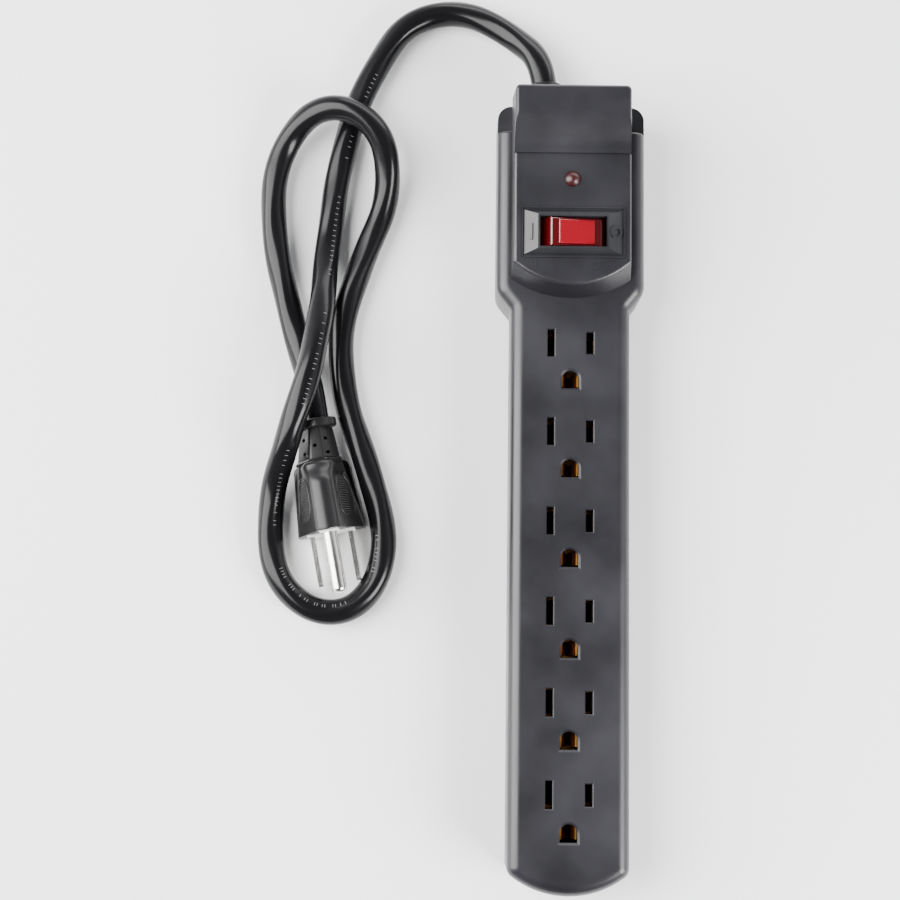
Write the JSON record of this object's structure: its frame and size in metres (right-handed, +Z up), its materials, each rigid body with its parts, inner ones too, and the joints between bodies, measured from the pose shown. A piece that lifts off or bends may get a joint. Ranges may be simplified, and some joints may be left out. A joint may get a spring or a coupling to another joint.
{
  "type": "surge protector power strip",
  "caption": "Flat six-outlet surge protector power strip with a raised switch head, red rocker, round indicator lamp, short round cord and moulded grounding plug.",
  "frame": {"origin": "bottom centre of the housing, without the gland, cord and plug", "axes": "+Y along the strip toward the cord end, +Z up out of the outlets, +X to the right with the cord end away"},
  "size_m": [0.1287, 0.2999, 0.037],
  "materials": {
    "housing_plastic": "satin charcoal moulding",
    "bezel_plastic": "satin charcoal moulding",
    "rocker_red": "translucent red, gloss",
    "lens_red": "clear red lens",
    "led_red": "dark red dome",
    "case_plastic": "black phenolic",
    "steel": "zinc plated",
    "spring_steel": "bright wire",
    "nickel": "nickel plated",
    "bronze": "orange bronze",
    "brass_terminal": "bright brass",
    "neon_glass": "clear",
    "board_green": "solder-masked board",
    "varistor_blue": "epoxy coating",
    "resistor_tan": "lacquered",
    "fuse_white": "ceramic",
    "tray_plastic": "insulating moulding",
    "cord_black": "glossy flexible vinyl",
    "plug_black": "satin moulded vinyl",
    "carrier_grey": "light insert",
    "lead_black": "insulation",
    "lead_white": "insulation",
    "lead_green": "insulation"
  },
  "bodies": {
    "housing": {"top_housing": "housing_plastic", "rear_cover": "housing_plastic", "switch_bezel": "bezel_plastic", "breaker_case": "case_plastic", "rocker_pin": "steel", "neon_lamp": "neon_glass", "line_terminal": "brass_terminal", "load_terminal": "brass_terminal", "lamp_terminal": "brass_terminal", "led_indicator": "led_red", "circuit_board": "board_green", "varistors": "varistor_blue", "resistors": "resistor_tan", "thermal_fuse": "fuse_white", "contact_tray": "tray_plastic", "neutral_bus_bar": "bronze", "line_bus_bar": "bronze", "ground_bus_bar": "bronze", "housing_screws": "steel", "cord_gland": "plug_black", "line_lead": "lead_black", "load_lead": "lead_black", "neutral_lead": "lead_white", "ground_lead": "lead_green", "power_cord": "cord_black", "plug_body": "plug_black", "plug_carrier": "carrier_grey", "plug_line_blade": "nickel", "plug_neutral_blade": "nickel", "plug_ground_pin": "nickel"},
    "rocker_body": {"rocker": "rocker_red", "rocker_lens": "lens_red", "plunger": "fuse_white", "plunger_spring": "spring_steel"},
    "seesaw_body": {"seesaw_contact": "brass_terminal"}
  },
  "joints": [
    {"name": "rocker_tilt", "type": "hinge", "parent": "housing", "child": "rocker_body", "pos_m": [0.0003, 0.0822, 0.0262], "axis": [0, -1, 0], "range_deg": [0, 18]},
    {"name": "seesaw_tilt", "type": "hinge", "parent": "housing", "child": "seesaw_body", "pos_m": [0.0003, 0.0822, 0.0162], "axis": [0, -1, 0], "range_deg": [-14.5, 0]}
  ],
  "couplings": [
    {"joint": "seesaw_tilt", "follows": "rocker_tilt", "ratio": -0.66667}
  ]
}
